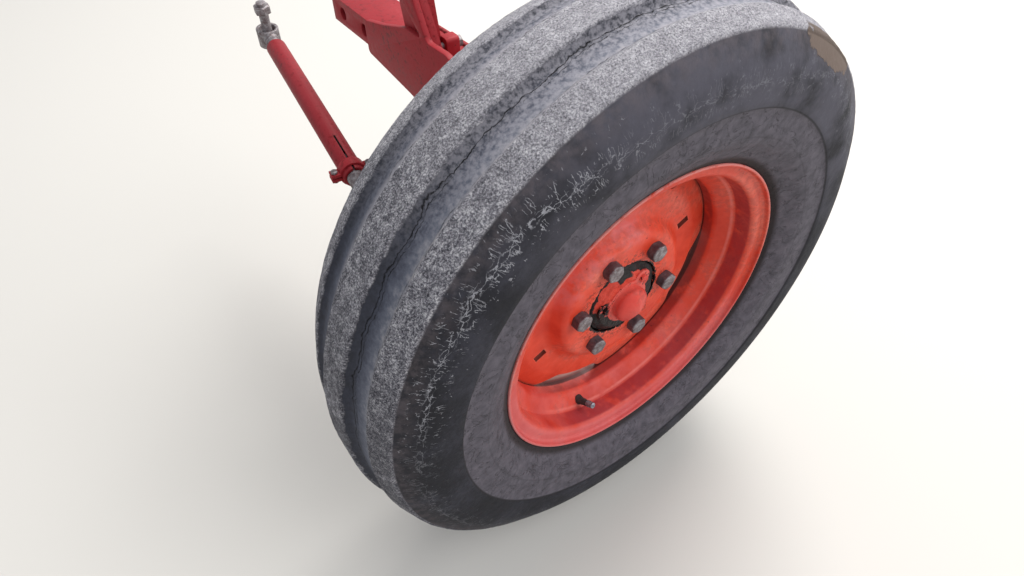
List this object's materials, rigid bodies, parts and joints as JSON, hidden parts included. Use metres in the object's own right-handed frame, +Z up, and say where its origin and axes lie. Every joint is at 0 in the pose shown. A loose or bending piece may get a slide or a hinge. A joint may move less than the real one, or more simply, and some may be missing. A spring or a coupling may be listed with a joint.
{
  "type": "tractor front wheel with axle end",
  "caption": "Ribbed front tyre on a pressed steel wheel, carried by a hub, a steering knuckle with kingpin, a box-beam axle end and the outer end of a tie rod.",
  "frame": {"origin": "midway between the two bolt holes of the axle beam, in the middle of the beam's width", "axes": "+X forward, along the bolts; +Y inboard, along the beam; +Z up"},
  "size_m": [0.788, 0.988, 0.7879],
  "materials": {
    "tyre_rubber": "worn, scuffed and dusty",
    "wheel_paint": "faded orange-red enamel with chips and dirt",
    "axle_paint": "dull red enamel with rubbed edges",
    "bolt_steel": "weathered zinc with brown dust",
    "greasy_iron": "cast iron under old grease and dirt",
    "bearing_steel": "ground steel",
    "moulded_rubber": "matt moulded rubber"
  },
  "bodies": {
    "axle": {"axle_beam": "axle_paint", "rear_cheek": "axle_paint", "front_cheek": "axle_paint", "kingpin_housing": "axle_paint", "kingpin_bushes": "bearing_steel", "stay_post": "axle_paint", "beam_lug": "axle_paint", "lug_bolt": "bolt_steel"},
    "knuckle": {"knuckle": "axle_paint", "kingpin": "bearing_steel", "steering_arm": "axle_paint", "ball_stud": "bolt_steel", "thrust_washer": "bearing_steel", "kingpin_washer": "bolt_steel", "kingpin_nut": "bolt_steel"},
    "wheel": {"tyre": "tyre_rubber", "rim": "wheel_paint", "wheel_disc": "wheel_paint", "wheel_bolts": "bolt_steel", "valve_stem": "moulded_rubber", "hub": "greasy_iron", "hub_cap": "wheel_paint", "cap_bolts": "bolt_steel", "inner_bearing": "bearing_steel", "outer_bearing": "bearing_steel", "hub_seal": "moulded_rubber"},
    "tie_rod": {"rod_end": "bolt_steel", "rod_boot": "moulded_rubber", "rod_tube": "axle_paint", "rod_clamp": "axle_paint", "clamp_bolts": "bolt_steel", "inner_rod_end": "bolt_steel", "inner_ball_stud": "bolt_steel"}
  },
  "joints": [
    {"name": "steer", "type": "hinge", "parent": "axle", "child": "knuckle", "pos_m": [0, -0.405, -0.148], "axis": [0, 0.1219, 0.9925], "range_deg": [-50, 50]},
    {"name": "wheel_spin", "type": "hinge", "parent": "knuckle", "child": "wheel", "pos_m": [0, -0.62, -0.148], "axis": [0, 1, 0], "continuous": true},
    {"name": "tie_rod_swing", "type": "hinge", "parent": "knuckle", "child": "tie_rod", "pos_m": [-0.183, -0.32946, -0.14821], "axis": [0, 0.1219, 0.9925], "range_deg": [-50, 50]}
  ],
  "couplings": [
    {"joint": "tie_rod_swing", "follows": "steer", "ratio": -1}
  ]
}
